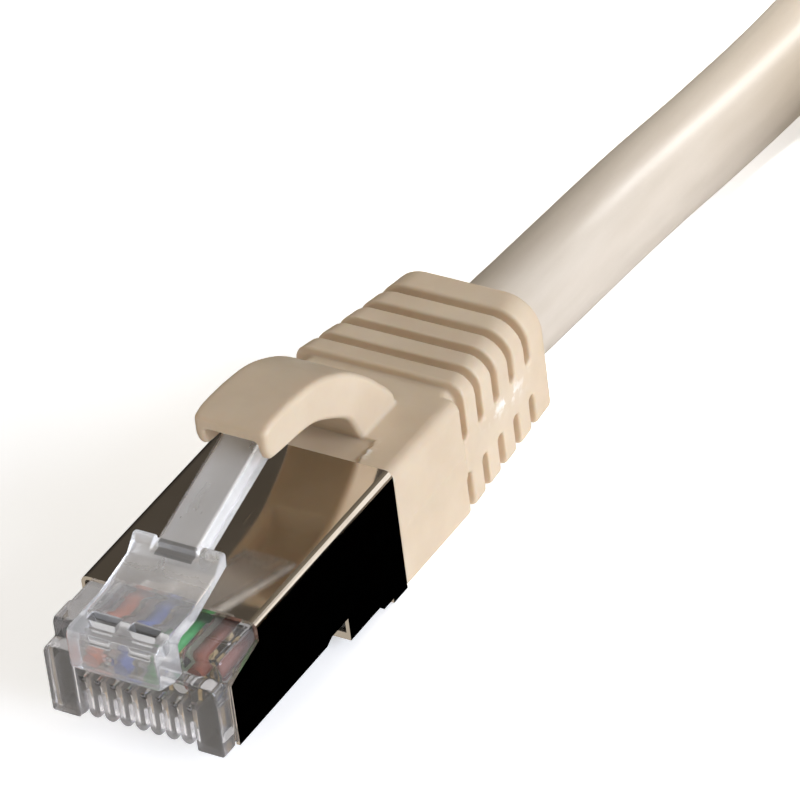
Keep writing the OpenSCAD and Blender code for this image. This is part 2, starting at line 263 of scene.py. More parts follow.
def ease_edges(piece, width, segments, angle):
    """Rounds the edges sharper than an angle; width in millimetres."""
    edge = piece.modifiers.new("edge", "BEVEL")
    edge.width = width * MM
    edge.segments = segments
    edge.limit_method = "ANGLE"
    edge.angle_limit = math.radians(angle)


def copy_to(piece, name, offset):
    """The same mesh at another plug, offset in millimetres."""
    mesh = piece.data.copy()
    mesh.transform(Matrix.Translation(Vector(offset) * MM))
    twin = bpy.data.objects.new(name, mesh)
    bpy.context.scene.collection.objects.link(twin)
    return twin


# ------------------------------------------------------------------ shapes as distance fields
# A shape is an array of distances on a grid of points, negative inside, in millimetres.

def smooth_min(a, b, k):
    """Union with a fillet of about k."""
    h = np.clip(0.5 + 0.5 * (b - a) / k, 0, 1)
    return b * (1 - h) + a * h - k * h * (1 - h)


def smooth_max(a, b, k):
    """Intersection with a rounding of about k."""
    return -smooth_min(-a, -b, k)


def round_join(a, b, r):
    """Intersection of two fields with an edge of radius r."""
    p, q = a + r, b + r
    return np.sqrt(np.maximum(p, 0) ** 2 + np.maximum(q, 0) ** 2) + np.minimum(np.maximum(p, q), 0) - r


def outline_field(points, u, v):
    """Signed distance to a closed outline in the (u, v) plane."""
    points = np.asarray(points, dtype=float)
    best = np.full(np.broadcast(u, v).shape, 1e9)
    inside = np.zeros(best.shape, dtype=bool)
    for (au, av), (bu, bv) in zip(points, np.roll(points, -1, axis=0)):
        eu, ev = bu - au, bv - av
        t = np.clip(((u - au) * eu + (v - av) * ev) / (eu * eu + ev * ev), 0, 1)
        best = np.minimum(best, (u - au - t * eu) ** 2 + (v - av - t * ev) ** 2)
        if ev != 0:
            crosses = ((av <= v) & (v < bv)) | ((bv <= v) & (v < av))
            inside ^= crosses & (u < au + (v - av) / ev * eu)
    return np.where(inside, -1, 1) * np.sqrt(best)


def section_field(x, z, half, z0, z1, r_low, r_high):
    """Rounded rectangle across the plug; every size may change along y."""
    middle = (z0 + z1) / 2
    r = np.where(z > middle, r_high, r_low)
    p = np.abs(x) - (half - r)
    q = np.abs(z - middle) - ((z1 - z0) / 2 - r)
    return np.sqrt(np.maximum(p, 0) ** 2 + np.maximum(q, 0) ** 2) + np.minimum(np.maximum(p, q), 0) - r


def curve_through(points, steps=8):
    """A smooth open curve through points, as a list (Catmull-Rom)."""
    p = np.asarray(points, dtype=float)
    p = np.vstack([2 * p[0] - p[1], p, 2 * p[-1] - p[-2]])
    out = []
    for i in range(1, len(p) - 2):
        for t in np.arange(steps) / steps:
            out.append(0.5 * (
                2 * p[i] + (p[i + 1] - p[i - 1]) * t
                + (2 * p[i - 1] - 5 * p[i] + 4 * p[i + 1] - p[i + 2]) * t ** 2
                + (3 * p[i] - p[i - 1] - 3 * p[i + 1] + p[i + 2]) * t ** 3
            ))
    out.append(p[-2])
    return [tuple(q) for q in out]


def make_solid(name, field_of, low, high, step, material, mark=None, coarse_from=None):
    """Meshes a shape at the near plug; past the station coarse_from its grid is coarse along y.

    The function mark gives each point's share of frosting or scuffing and, if it has one, its painted light:
    painted shade and painted highlights for the colour.
    """
    x, y, z = (np.arange(a, b + step, step) for a, b in zip(low, high))
    if coarse_from is not None:
        y = np.concatenate([y[y < coarse_from], np.arange(coarse_from, high[1], 5 * step)])
    # Faces that lie exactly on the grid are moved by less than a micron, so that they come out flat
    nudge = 0.0009
    field = (field_of(x[:, None, None], y[None, :, None], z[None, None, :]) - nudge).astype(np.float32)
    points, quads = field_surface(field, (x, y, z))
    piece = add_mesh(name, points, quads, material, PLUGS["near"])
    if mark is not None:
        for label, values in mark(*points.T).items():
            share = piece.data.attributes.new(label, "FLOAT", "POINT")
            share.data.foreach_set("value", np.clip(values, 0, 1).astype(np.float32))
    return piece


def ease(value, start, end):
    """Smooth step from 0 at start to 1 at end."""
    t = np.clip((value - start) / (end - start), 0, 1)
    return t * t * (3 - 2 * t)


def field_surface(field, axes):
    """Points and quads of the field's zero surface (surface nets)."""
    inside = field < 0
    shape = np.array(field.shape) - 1
    total = np.zeros(tuple(shape) + (3,), dtype=np.float32)
    count = np.zeros(tuple(shape), dtype=np.float32)
    corners = [(i, j, k) for i in (0, 1) for j in (0, 1) for k in (0, 1)]

    def part(array, corner):
        return array[tuple(slice(c, c + n) for c, n in zip(corner, shape))]

    for a in corners:
        for axis in range(3):
            if a[axis]:
                continue
            b = tuple(c + (i == axis) for i, c in enumerate(a))
            fa, fb = part(field, a), part(field, b)
            crossing = part(inside, a) != part(inside, b)
            t = np.where(crossing, fa / np.where(crossing, fa - fb, 1), 0)
            for i in range(3):
                total[..., i] += np.where(crossing, a[i] + (t if i == axis else 0), 0)
            count += crossing
    used = count > 0
    number = np.full(tuple(shape), -1, dtype=np.int64)
    number[used] = np.arange(used.sum())
    cells = np.argwhere(used)
    share = total[used] / count[used][:, None]
    starts = [axis[cells[:, i]] for i, axis in enumerate(axes)]
    widths = [axis[cells[:, i] + 1] - axis[cells[:, i]] for i, axis in enumerate(axes)]
    points = np.stack([starts[i] + share[:, i] * widths[i] for i in range(3)], axis=1)
    quads = []
    for axis in range(3):
        u, v = (axis + 1) % 3, (axis + 2) % 3
        ahead = [slice(None)] * 3
        ahead[axis] = slice(1, None)
        behind = [slice(None)] * 3
        behind[axis] = slice(None, -1)
        a, b = inside[tuple(behind)], inside[tuple(ahead)]
        for flip, crossing in ((False, a & ~b), (True, ~a & b)):
            at = np.argwhere(crossing)
            at = at[(at[:, u] > 0) & (at[:, v] > 0) & (at[:, u] < shape[u]) & (at[:, v] < shape[v])]
            ring = []
            for du, dv in ((0, 0), (1, 0), (1, 1), (0, 1)):
                cell = at.copy()
                cell[:, u] -= du
                cell[:, v] -= dv
                ring.append(number[cell[:, 0], cell[:, 1], cell[:, 2]])
            ring = np.stack(ring, axis=1)
            quads.append(ring[:, ::-1] if flip else ring)
    return points, np.vstack(quads)


# ------------------------------------------------------------------ boot and hood

HOOD_CROWN = [
    (14.0, 14.7), (14.25, 14.95), (15.3, 15.15), (17.8, 15.0), (20.2, 14.5), (22.8, 13.2),
    (24.9, 11.5), (26.1, 10.2), (26.8, 9.4), (27.25, 8.7), (27.3, 8.0),
]
HOOD_UNDERSIDE = [
    (23.5, 8.1), (23.2, 8.5), (22.9, 9.26), (22.4, 10.1), (21.2, 11.0), (19.2, 12.1),
    (17.6, 12.48), (15.9, 12.66), (14.6, 12.82), (14.25, 13.0), (14.0, 13.6),
]
HOOD_CHANNEL = [
    (12, 14.0), (14.6, 14.12), (16.5, 14.16), (18.2, 13.85), (19.2, 13.2), (19.6, 12.2), (19.6, 10), (12, 10),
]
HOOD_HALF, CHANNEL_HALF = 2.45, 1.8
COLLAR_TOP = 8.2
PLATFORM_TOP = 8.0
RIBS_START, RIBS_LONG = 28.3, 11.4
GROOVES = 5
FIRST_GROOVE, GROOVE_PITCH, GROOVE_HALF = 29.0, 2.1, 0.36
GROOVE_END_R = 0.3


def rib_top(s):
    """Height of the ribs; s runs from 0 at the collar to 1 at the cable."""
    return 8.8 - 1.3 * s + 0.4 * s ** 3


def boot_field(x, y, z):
    """Collar, ribs with their grooves, hood and the way out for the cable."""
    s = np.clip((y - RIBS_START) / RIBS_LONG, 0, 1)
    collar = section_field(x, z, HALF_W, 0.0, COLLAR_TOP, 0.4, 0.8)
    collar = round_join(collar, np.abs(y - 24.9) - 3.85, 0.12)
    half, top, corner = HALF_W - 0.85 * s, rib_top(s), 0.95 + 1.35 * s
    ribs = section_field(x, z, half, 0.0, top, 0.5, corner)
    ribs = round_join(ribs, np.abs(y - 34.2) - 5.5, 0.3)
    boot = np.minimum(collar, ribs)
    # A step up from the collar to the first rib
    boot = smooth_max(boot, -np.maximum(np.abs(y - 28.2) - 1.15, COLLAR_TOP - z), 0.1)
    # Grooves reach in to an inner core, from above and, a little nearer the nose, from below
    core_top = np.maximum(top - 0.75, COLLAR_TOP - 0.2 * (y - FIRST_GROOVE))
    core = section_field(x, z, half - 0.8, 0.0, core_top, 0.5, corner - 0.3)
    low_core = section_field(x, z, half - 0.8, 0.5, 8.0, 0.6, 1.1)
    for i in range(GROOVES):
        at = FIRST_GROOVE + GROOVE_PITCH * i
        groove = round_join(np.abs(y - at) - GROOVE_HALF, (5.1 - 0.1 * i) - z, GROOVE_END_R)
        boot = smooth_max(boot, -smooth_max(groove, -core, 0.2), 0.16)
        groove = round_join(np.abs(y - at + 0.1) - GROOVE_HALF, z - (2.7 - 0.07 * i), GROOVE_END_R)
        boot = smooth_max(boot, -smooth_max(groove, -low_core, 0.2), 0.16)
    # Lowered platform in front of the hood's root
    platform = np.maximum(np.maximum(np.abs(x) - 3.35, np.abs(y - 21.7) - 1.7), PLATFORM_TOP - z)
    boot = smooth_max(boot, -platform, 0.06)
    # Hood: an arched band with two lips
    side = outline_field(curve_through(HOOD_CROWN) + curve_through(HOOD_UNDERSIDE), y[0], z[0])[None]
    hood = round_join(side, np.abs(x) - HOOD_HALF, 0.36)
    channel = round_join(outline_field(HOOD_CHANNEL, y[0], z[0])[None], np.abs(x) - CHANNEL_HALF, 0.3)
    hood = smooth_max(hood, -channel, 0.15)
    boot = smooth_min(boot, hood, 0.2)
    # Torn flash left at the platform's edge by the mould
    flash_start, flash_long = 21.6, 1.7
    past = y - flash_start - flash_long * np.clip((y - flash_start) / flash_long, 0, 1)
    flash = np.sqrt((x - 3.38) ** 2 + (z - 8.1) ** 2 + past ** 2) - 0.1 - 0.06 * np.sin(y * 9)
    boot = smooth_min(boot, flash, 0.12)
    # Mould parting line round the collar's side
    ridge = np.sqrt((np.abs(x) - HALF_W + 0.02) ** 2 + (z - 4.1 - 0.02 * (y - 21)) ** 2) - 0.075
    boot = smooth_min(boot, np.maximum(ridge, np.abs(y - 25.0) - 3.4), 0.08)
    # The cable leans a little to one side and down through the soft boot
    lean = (y - 23.6) / 16.1
    bore = np.sqrt((x - LEAN_X * lean) ** 2 + (z - CABLE_Z - LEAN_Z * lean) ** 2) - (CABLE_R + 0.03)
    return smooth_max(boot, -np.maximum(bore, 33.0 - y), 0.1)


# ------------------------------------------------------------------ clear plastic

LATCH_HALF = 3.0
LATCH_RISE = 2.65 / 8.7
WIRE_PITCH = 1.02
BODY_HALF = 5.58
COMB_HALF = 3.9
FINGER_R = 0.42
POCKET_X, POCKET_Y = 1.335, 1.62
GATE_X, GATE_Z = -0.3, 8.2


def wire_x(n):
    """Middle of wire and contact n across the plug."""
    return (n - 4.5) * WIRE_PITCH


def latch_marks(x, y, z):
    """Frosted on the tab and stop faces, clearer where the wires show. Its painted light: painted shade in
    the pockets, a painted dark reflection on the step between the stop faces, the plate darker at the front
    and paler towards the back, and paler side edges as painted highlights.
    """
    centre = ease(1.3 - np.abs(x), 0, 0.15)
    frost = ease(y, 5.0, 6.6) * np.where(y > 8.0, 0.25 + 0.75 * centre, 1.0)
    frost = np.maximum(frost, 0.35 * ease(2.4 - y, 0, 0.6))
    # Painted shade: the pockets' walls are darkened in the colour
    pocket = (np.abs(np.abs(x) - POCKET_X) < 1.0) & (np.abs(y - POCKET_Y) < 0.44) & (z > 8.1) & (z < 9.6)
    # Painted reflection: the lower middle between the stop faces is darkened as if it mirrored the dark
    # studio
    step = (np.abs(x) < 1.25) & (y > 6.9) & (y < 7.75) & (z > 10.2)
    # Painted highlights: the plate's side edges are kept pale as bright rims
    sides = ease(np.abs(x), 2.7, 2.95) * (z > 8.7)
    # Painted light: the plate is darker at the front and paler towards the back, where it is frosted
    painted_light = np.maximum(sides, 0.74 + 0.26 * ease(y, 2.4, 6.0))
    return {"mark": frost, "painted_light": np.where(pocket, 0.12, np.where(step, 0.25, painted_light))}


def housing_marks(x, y, z):
    """Dull on the shoulders' back and the flange's sides; the fingers painted pale as if lit from behind, and
    painted shade in the square openings over them.
    """
    frost = np.maximum(0.6 * ease(y, 4.2, 5.0), 0.5 * ease(np.abs(x), 5.3, 5.75))
    comb = (np.abs(x) < COMB_HALF) & (y < 2.6)
    # The fingers' tips are frosted, and painted pale as if lit from behind
    tips = comb * ease(4.4 - z, 0, 0.5)
    # Painted shade: the square openings over the slots are darkened in the colour
    opening = comb & (z > 4.5) & (z < 4.82) & (y > 1.64)
    return {"mark": np.maximum(frost, tips), "painted_light": np.where(opening, 0.1, 0.7 + 0.3 * tips)}


def boot_marks(x, y, z):
    """A pale rubbed patch across the plain band of the ribs, and the torn flash by the platform."""
    scuff = np.exp(-(((y - 34.2) / 2.2) ** 2) - ((z - 4.3 + 0.12 * (y - 34.2)) / 0.55) ** 2) * (x > 4)
    flash = np.exp(-(((x - 3.38) / 0.25) ** 2) - ((y - 22.4) / 0.8) ** 2 - ((z - 8.2) / 0.25) ** 2)
    return {"mark": np.maximum(scuff, flash)}


def box_field(x, y, z, low, high, r):
    """A box between two corners with its edges rounded by r."""
    parts = [np.abs(a - (p + q) / 2) - (q - p) / 2 + r for a, p, q in zip((x, y, z), low, high)]
    outside = np.sqrt(sum(np.maximum(p, 0) ** 2 for p in parts))
    return outside + np.minimum(np.maximum(np.maximum(parts[0], parts[1]), parts[2]), 0) - r


def housing_field(x, y, z):
    """Clear body with its flange, shoulders and comb of fingers, without the latch's root block."""
    body = section_field(x, z, BODY_HALF, 2.0, 7.95, 0.3, 0.4)
    body = round_join(body, np.abs(y - 11.5) - 9.2, 0.15)
    rear = section_field(x, z, BODY_HALF, 1.0, 8.08, 0.3, 0.4)
    body = np.minimum(body, round_join(rear, np.abs(y - 17.85) - 2.85, 0.15))
    flange = section_field(x + 0.07, z, 5.73, 2.0, 6.75, 0.15, 0.6)
    flange = round_join(flange, np.abs(y - 1.95) - 0.65, 0.12)
    body = smooth_min(body, flange, 0.08)
    front = box_field(x, y, z, (-BODY_HALF, 2.3, 5.0), (BODY_HALF, 4.25, 8.06), 0.32)
    behind = box_field(x, y, z, (-5.45, 3.8, 5.0), (5.45, 5.88, 7.98), 0.25)
    body = smooth_min(body, smooth_min(front, behind, 0.05), 0.08)
    # Room for the latch's plate and root block
    body = smooth_max(body, -box_field(x, y, z, (-3.04, -1, 7.3), (3.04, 6.0, 12), 0.1), 0.06)
    body = smooth_max(body, -box_field(x, y, z, (-3.02, -1, 6.52), (3.02, 2.33, 12), 0.03), 0.03)
    # Recessed comb: eight slots between fingers with round ends, and a square opening over each slot
    body = smooth_max(body, -box_field(x, y, z, (-COMB_HALF, 0, 0), (COMB_HALF, 1.62, 6.6), 0.12), 0.06)
    tips = 0.5 * WIRE_PITCH - np.sqrt(np.maximum(FINGER_R ** 2 - np.minimum(z - 2.42, 0) ** 2, 0))
    for n in range(1, 9):
        at = wire_x(n)
        slot = np.maximum(np.abs(x - at) - tips, z - 3.75)
        body = smooth_max(body, -np.maximum(slot, y - 2.6), 0.1)
        body = np.maximum(body, -box_field(x, y, z, (at - 0.16, 0, 4.52), (at + 0.16, 3.2, 4.8), 0.03))
        # Room for the contact blade behind the slot
        body = np.maximum(body, -box_field(x, y, z, (at - 0.22, 2.5, 0), (at + 0.22, 7.5, 4.5), 0.04))
    return body


LATCH_SIDE = [
    (2.31, 6.52), (2.31, 8.55), (2.7, 8.8), (4.1, 8.8), (5.2, 9.16), (7.9, 10.1), (7.98, 10.9), (7.85, 11.08),
    (7.55, 11.08), (7.3, 10.8), (6.7, 10.22), (3.7, 9.66), (0.5, 9.65), (0.15, 9.5), (0.0, 9.15),
    (0.0, 6.95), (0.2, 6.85), (1.3, 6.5),
]
TAB_SIDE = [(7.3, 9.95), (16.2, 12.66), (16.3, 13.3), (15.9, 13.5), (14.8, 13.2), (7.5, 10.95)]


def latch_field(x, y, z):
    """Root block, plate with its two stop faces, and the tab that the hood presses."""
    side = outline_field(LATCH_SIDE, y[0], z[0])[None]
    plate = round_join(side, np.abs(x) - LATCH_HALF, 0.16)
    above = z - 9.95 - LATCH_RISE * (y - 7.3)
    tab_side = outline_field(TAB_SIDE, y[0], z[0])[None]
    tab_half = 1.72 - 0.54 * np.clip((above - 0.3) / 0.65, 0, 1)
    tab = round_join(tab_side, (np.abs(x) - tab_half) * 0.85, 0.06)
    # The stop faces stand at both sides of a lower middle
    plate = smooth_max(plate, -box_field(x, y, z, (-1.55, 6.75, 10.55), (1.55, 8.5, 12), 0.08), 0.06)
    latch = smooth_min(plate, tab, 0.08)
    # Two tapered pockets in the root block
    taper = 0.16 * np.clip(9.65 - z, 0, 2)
    for at in (-POCKET_X, POCKET_X):
        pocket = np.maximum(np.abs(x - at) - 0.95 + taper, np.abs(y - POCKET_Y) - 0.37 + 0.5 * taper)
        latch = smooth_max(latch, -smooth_max(pocket, 8.2 - z, 0.1), 0.05)
    # Gate mark on the front: a shallow round dimple with a torn stub in its middle
    out = np.sqrt((x - GATE_X) ** 2 + (z - GATE_Z) ** 2)
    latch = smooth_max(latch, -(np.sqrt(out ** 2 + (y + 0.42) ** 2) - 0.55), 0.04)
    return smooth_min(latch, np.sqrt(out ** 2 + (y - 0.12) ** 2) - 0.15, 0.05)


# ------------------------------------------------------------------ wires, contacts, tie

# The wires leave the jacket in a ring, each at its own angle
WIRE_R = 0.49
RING_R = 1.85
RING_ANGLES = (202.5, 157.5, 247.5, 112.5, 292.5, 67.5, 337.5, 22.5)
BLADE_HALF = 0.16


def tube(name, route, r, material, sides=16, offset=(0, 0, 0)):
    """A round closed tube along a route; its attribute 'around' runs 0 to 1 round it."""
    route = np.asarray(route, dtype=float)
    heading = np.gradient(route, axis=0)
    heading /= np.linalg.norm(heading, axis=1)[:, None]
    a = np.cross((0, 0, 1), heading)
    a /= np.linalg.norm(a, axis=1)[:, None]
    b = np.cross(heading, a)
    angles = np.arange(sides) * 2 * np.pi / sides
    rings = route[:, None] + r * (
        a[:, None] * np.cos(angles)[None, :, None] + b[:, None] * np.sin(angles)[None, :, None]
    )
    points = [tuple(p) for p in rings.reshape(-1, 3)]
    faces = []
    for i in range(len(route) - 1):
        for k in range(sides):
            m = (k + 1) % sides
            faces.append((i * sides + k, (i + 1) * sides + k, (i + 1) * sides + m, i * sides + m))
    faces.append(tuple(range(sides)))
    faces.append(tuple(len(points) - 1 - k for k in range(sides)))
    piece = add_mesh(name, points, [list(f) for f in faces], material, offset, smooth_angle=40)
    around = piece.data.attributes.new("around", "FLOAT", "POINT")
    around.data.foreach_set("value", np.tile(np.arange(sides) / sides, len(route)).astype(np.float32))
    return piece


def make_wire(end, n, material):
    """Insulated wire n, from its cut tip in the nose to the jacket."""
    at, z = wire_x(n), 5.4 if n % 2 else 6.4
    angle = math.radians(RING_ANGLES[n - 1])
    ring = (RING_R * math.cos(angle), CABLE_Z + RING_R * math.sin(angle))
    tip = 3.3 if n % 2 else 2.4 + 0.2 * (n % 3)
    stations = [(at, y, z) for y in (tip, 5, 8, 12, 15.5)]
    stations.append(((at + ring[0]) / 2, 17.8, (z + ring[1]) / 2))
    stations += [(ring[0], y, ring[1]) for y in (20.0, 20.75)]
    wire = tube(f"{end}_wire_{n}_insulation", curve_through(stations, 4), WIRE_R, material, offset=PLUGS[end])
    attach(wire, ROOT)
    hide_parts(f"{end}_wire_{n}")


def contact_side(n):
    """Outline of blade n in (y, z): a rounded front, two prongs that end inside the wire."""
    tip = 5.1 if n % 2 else 5.9
    return [
        (3.0, 3.2), (3.03, 2.85), (3.2, 2.56), (3.5, 2.42), (7.2, 2.42), (7.2, 4.2), (6.6, 4.4),
        (6.45, tip - 0.45), (6.3, tip), (6.1, tip - 0.45), (5.95, 4.6), (4.9, 4.6),
        (4.75, tip - 0.45), (4.6, tip), (4.4, tip - 0.45), (4.2, 4.4), (3.6, 4.25), (3.05, 4.1),
    ]


def make_contacts(name, numbers, end, material):
    """Contact blades, their front ends rounded to meet the jack's springs."""
    points, faces = [], []
    for n in numbers:
        base, outline = len(points), contact_side(n)
        sides = len(outline)
        for x in (wire_x(n) - BLADE_HALF, wire_x(n) + BLADE_HALF):
            points += [(x, y, z) for y, z in outline]
        faces.append([base + i for i in range(sides)][::-1])
        faces.append([base + sides + i for i in range(sides)])
        for i in range(sides):
            j = (i + 1) % sides
            faces.append([base + i, base + j, base + sides + j, base + sides + i])
    blades = add_mesh(name, points, faces, material, PLUGS[end], smooth_angle=35)
    ease_edges(blades, 0.04, 2, 60)
    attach(blades, ROOT)
    return blades


def rounded_outline(low, high, r, steps=6):
    """Points of a rounded rectangle."""
    points = []
    left, right, bottom, top = low[0] + r, high[0] - r, low[1] + r, high[1] - r
    middles = ((right, top), (left, top), (left, bottom), (right, bottom))
    for (cu, cv), start in zip(middles, (0, 90, 180, 270)):
        for i in range(steps + 1):
            a = math.radians(start + 90 * i / steps)
            points.append((cu + r * math.cos(a), cv + r * math.sin(a)))
    return points


def make_tie(material):
    """Hook-and-loop band round the coil, its end lapped over the top."""
    outer = rounded_outline((98.3, 0.0), (120.45, 14.0), 3.0)
    inner = rounded_outline((98.9, 0.6), (119.85, 13.4), 2.4)
    count = len(outer)
    half = 3.0
    points, faces = [], []
    for x in (COIL_MIDDLE[0] - half, COIL_MIDDLE[0] + half):
        points += [(x, u, v) for u, v in outer] + [(x, u, v) for u, v in inner]
    for i in range(count):
        j = (i + 1) % count
        faces.append((i, j, 2 * count + j, 2 * count + i)[::-1])
        faces.append((count + i, count + j, 3 * count + j, 3 * count + i))
        faces.append((i, j, count + j, count + i))
        faces.append((2 * count + i, 2 * count + j, 3 * count + j, 3 * count + i)[::-1])
    # The lapped end lies on the band, its corners cut round
    base = len(points)
    lap = [(119.2, 13.35), (118.2, 13.85), (116.5, 14.02), (108.0, 14.05), (106.5, 14.0)]
    for x in (COIL_MIDDLE[0] - half + 0.1, COIL_MIDDLE[0] + half - 0.1):
        points += [(x, u, v) for u, v in lap] + [(x, u, v + 0.6) for u, v in lap]
    n = len(lap)
    for i in range(n - 1):
        faces.append((base + i, base + i + 1, base + 2 * n + i + 1, base + 2 * n + i))
        faces.append((base + n + i, base + n + i + 1, base + 3 * n + i + 1, base + 3 * n + i)[::-1])
        faces.append((base + i, base + i + 1, base + n + i + 1, base + n + i)[::-1])
        faces.append((base + 2 * n + i, base + 2 * n + i + 1, base + 3 * n + i + 1, base + 3 * n + i))
    for i in (0, n - 1):
        face = (base + i, base + n + i, base + 3 * n + i, base + 2 * n + i)
        faces.append(face if i else face[::-1])
    tie = add_mesh("coil_tie_band", points, [list(f) for f in faces], material, smooth_angle=40)
    ease_edges(tie, 0.12, 2, 50)
    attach(tie, ROOT)
    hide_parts("coil_tie")
    return tie


# ------------------------------------------------------------------ cable

def coil_points():
    """Four and a half turns: two layers, in and then out again."""
    points = []

    def turn(radius, angle, height):
        a = math.radians(180 - angle)
        return (COIL_MIDDLE[0] + radius * math.cos(a), COIL_MIDDLE[1] + radius * math.sin(a), height)

    inner = COIL_R - 2 * COIL_PITCH
    for angle in range(0, 720, TURN_STEP):
        points.append(turn(COIL_R - COIL_PITCH * angle / 360, angle, COIL_Z[0]))
    for angle in range(0, 90, TURN_STEP):
        rise = angle / 90
        height = COIL_Z[0] + (COIL_Z[1] - COIL_Z[0]) * rise * rise * (3 - 2 * rise)
        points.append(turn(inner, angle, height))
    for angle in range(90, 901, TURN_STEP):
        points.append(turn(inner + COIL_PITCH * (angle - 90) / 360, angle, COIL_Z[1]))
    return points


def make_cable(material):
    """The round jacket as one smooth curve, from plug to plug."""
    route = ROUTE_LEAD + coil_points() + ROUTE_TAIL
    curve = bpy.data.curves.new("cable_jacket", "CURVE")
    curve.dimensions = "3D"
    curve.bevel_depth = CABLE_R * MM
    curve.bevel_resolution = 10
    curve.resolution_u = 6
    curve.use_fill_caps = True
    spline = curve.splines.new("BEZIER")
    spline.bezier_points.add(len(route) - 1)
    for point, place in zip(spline.bezier_points, route):
        point.co = Vector(place) * MM
        point.handle_left_type = point.handle_right_type = "AUTO"
    curve.materials.append(material)
    cable = bpy.data.objects.new("cable_jacket", curve)
    bpy.context.scene.collection.objects.link(cable)
    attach(cable, ROOT)
    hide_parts("cable_lead", "cable_coil", "cable_tail")
    return cable


# ------------------------------------------------------------------ materials

def new_material(name, colour, roughness, **inputs):
    """A Principled material; returns it with its tree and shader."""
    material = bpy.data.materials.new(name)
    material.use_nodes = True
    tree = material.node_tree
    shader = tree.nodes["Principled BSDF"]
    shader.inputs["Base Color"].default_value = (*colour, 1)
    shader.inputs["Roughness"].default_value = roughness
    for key, value in inputs.items():
        shader.inputs[key.replace("_", " ")].default_value = value
    return material, tree, shader


def noise(tree, scale, detail=3.0, roughness=0.5, stretch=None):
    """Noise in object space; scale is in features per metre."""
    coords = tree.nodes.new("ShaderNodeTexCoord")
    texture = tree.nodes.new("ShaderNodeTexNoise")
    texture.inputs["Scale"].default_value = scale
    texture.inputs["Detail"].default_value = detail
    texture.inputs["Roughness"].default_value = roughness
    source = coords.outputs["Object"]
    if stretch:
        mapping = tree.nodes.new("ShaderNodeMapping")
        mapping.inputs["Scale"].default_value = stretch
        tree.links.new(source, mapping.inputs["Vector"])
        source = mapping.outputs["Vector"]
    tree.links.new(source, texture.inputs["Vector"])
    return texture.outputs["Fac"]


def ramp_between(tree, source, stops):
    """A colour ramp over a factor."""
    ramp = tree.nodes.new("ShaderNodeValToRGB")
    elements = ramp.color_ramp.elements
    while len(elements) < len(stops):
        elements.new(0.5)
    for element, (place, colour) in zip(elements, stops):
        element.position = place
        element.color = (*colour, 1)
    tree.links.new(source, ramp.inputs[0])
    return ramp.outputs[0]


def bump(tree, shader, source, strength, distance, normal=None):
    """Bump on the shader's normal; distance in metres."""
    node = tree.nodes.new("ShaderNodeBump")
    node.inputs["Strength"].default_value = strength
    node.inputs["Distance"].default_value = distance
    tree.links.new(source, node.inputs["Height"])
    if normal is not None:
        tree.links.new(normal, node.inputs["Normal"])
    tree.links.new(node.outputs[0], shader.inputs["Normal"])
    return node.outputs[0]


def boot_material():
    """Beige moulded PVC with a fine satin grain; thin edges let a little light through."""
    material, tree, shader = new_material(
        "boot_pvc", (0.66, 0.53, 0.38), 0.42, Subsurface_Weight=0.25, Subsurface_Scale=0.0012
    )
    shader.inputs["Subsurface Radius"].default_value = (1.0, 0.55, 0.25)
    mottled = noise(tree, 260, 4)
    colour = ramp_between(tree, mottled, [(0.3, (0.60, 0.475, 0.335)), (0.7, (0.66, 0.54, 0.395))])
    rubbed = tree.nodes.new("ShaderNodeMix")
    rubbed.data_type = "RGBA"
    specks = ramp_between(tree, noise(tree, 1400, 5), [(0.50, (0,) * 3), (0.60, (1,) * 3)])
    share = maths(tree, "MULTIPLY", attribute(tree, "mark"), specks)
    tree.links.new(share, rubbed.inputs[0])
    tree.links.new(colour, rubbed.inputs[6])
    rubbed.inputs[7].default_value = (0.84, 0.79, 0.72, 1)
    tree.links.new(rubbed.outputs[2], shader.inputs["Base Color"])
    gloss = ramp_between(tree, noise(tree, 900, 3), [(0.35, (0.38,) * 3), (0.7, (0.52,) * 3)])
    tree.links.new(gloss, shader.inputs["Roughness"])
    coarse = bump(tree, shader, noise(tree, 1500, 3), 0.25, 0.00004)
    bump(tree, shader, noise(tree, 9000, 2), 0.2, 0.00001, coarse)
    return material


def jacket_material():
    """Beige-grey extruded cable jacket, faintly streaked along its length."""
    material, tree, shader = new_material("cable_jacket_pvc", (0.68, 0.60, 0.50), 0.38)
    streaks = noise(tree, 300, 4, stretch=(3, 0.4, 3))
    colour = ramp_between(tree, streaks, [(0.3, (0.53, 0.46, 0.375)), (0.7, (0.58, 0.51, 0.425))])
    tree.links.new(colour, shader.inputs["Base Color"])
    bump(tree, shader, noise(tree, 2500, 3), 0.15, 0.00002)
    return material


def nickel_material():
    """Bright nickel plate on drawn sheet: faint ripples, fine scratches and specks."""
    material, tree, shader = new_material("nickel_plate", (0.60, 0.55, 0.49), 0.08, Metallic=1.0)
    gloss = ramp_between(tree, noise(tree, 700, 5), [(0.35, (0.07,) * 3), (0.75, (0.11,) * 3)])
    tree.links.new(gloss, shader.inputs["Roughness"])
    tone = ramp_between(tree, noise(tree, 150, 3), [(0.3, (0.53, 0.47, 0.39)), (0.7, (0.62, 0.56, 0.49))])
    tree.links.new(tone, shader.inputs["Base Color"])
    rippled = bump(tree, shader, noise(tree, 90, 2), 0.05, 0.00006)
    drawn = noise(tree, 300, 5, 0.7, (2.0, 0.35, 2.0))
    scratches = ramp_between(tree, drawn, [(0.64, (0,) * 3), (0.68, (1,) * 3)])
    bump(tree, shader, scratches, 0.25, 0.00001, rippled)
    return material


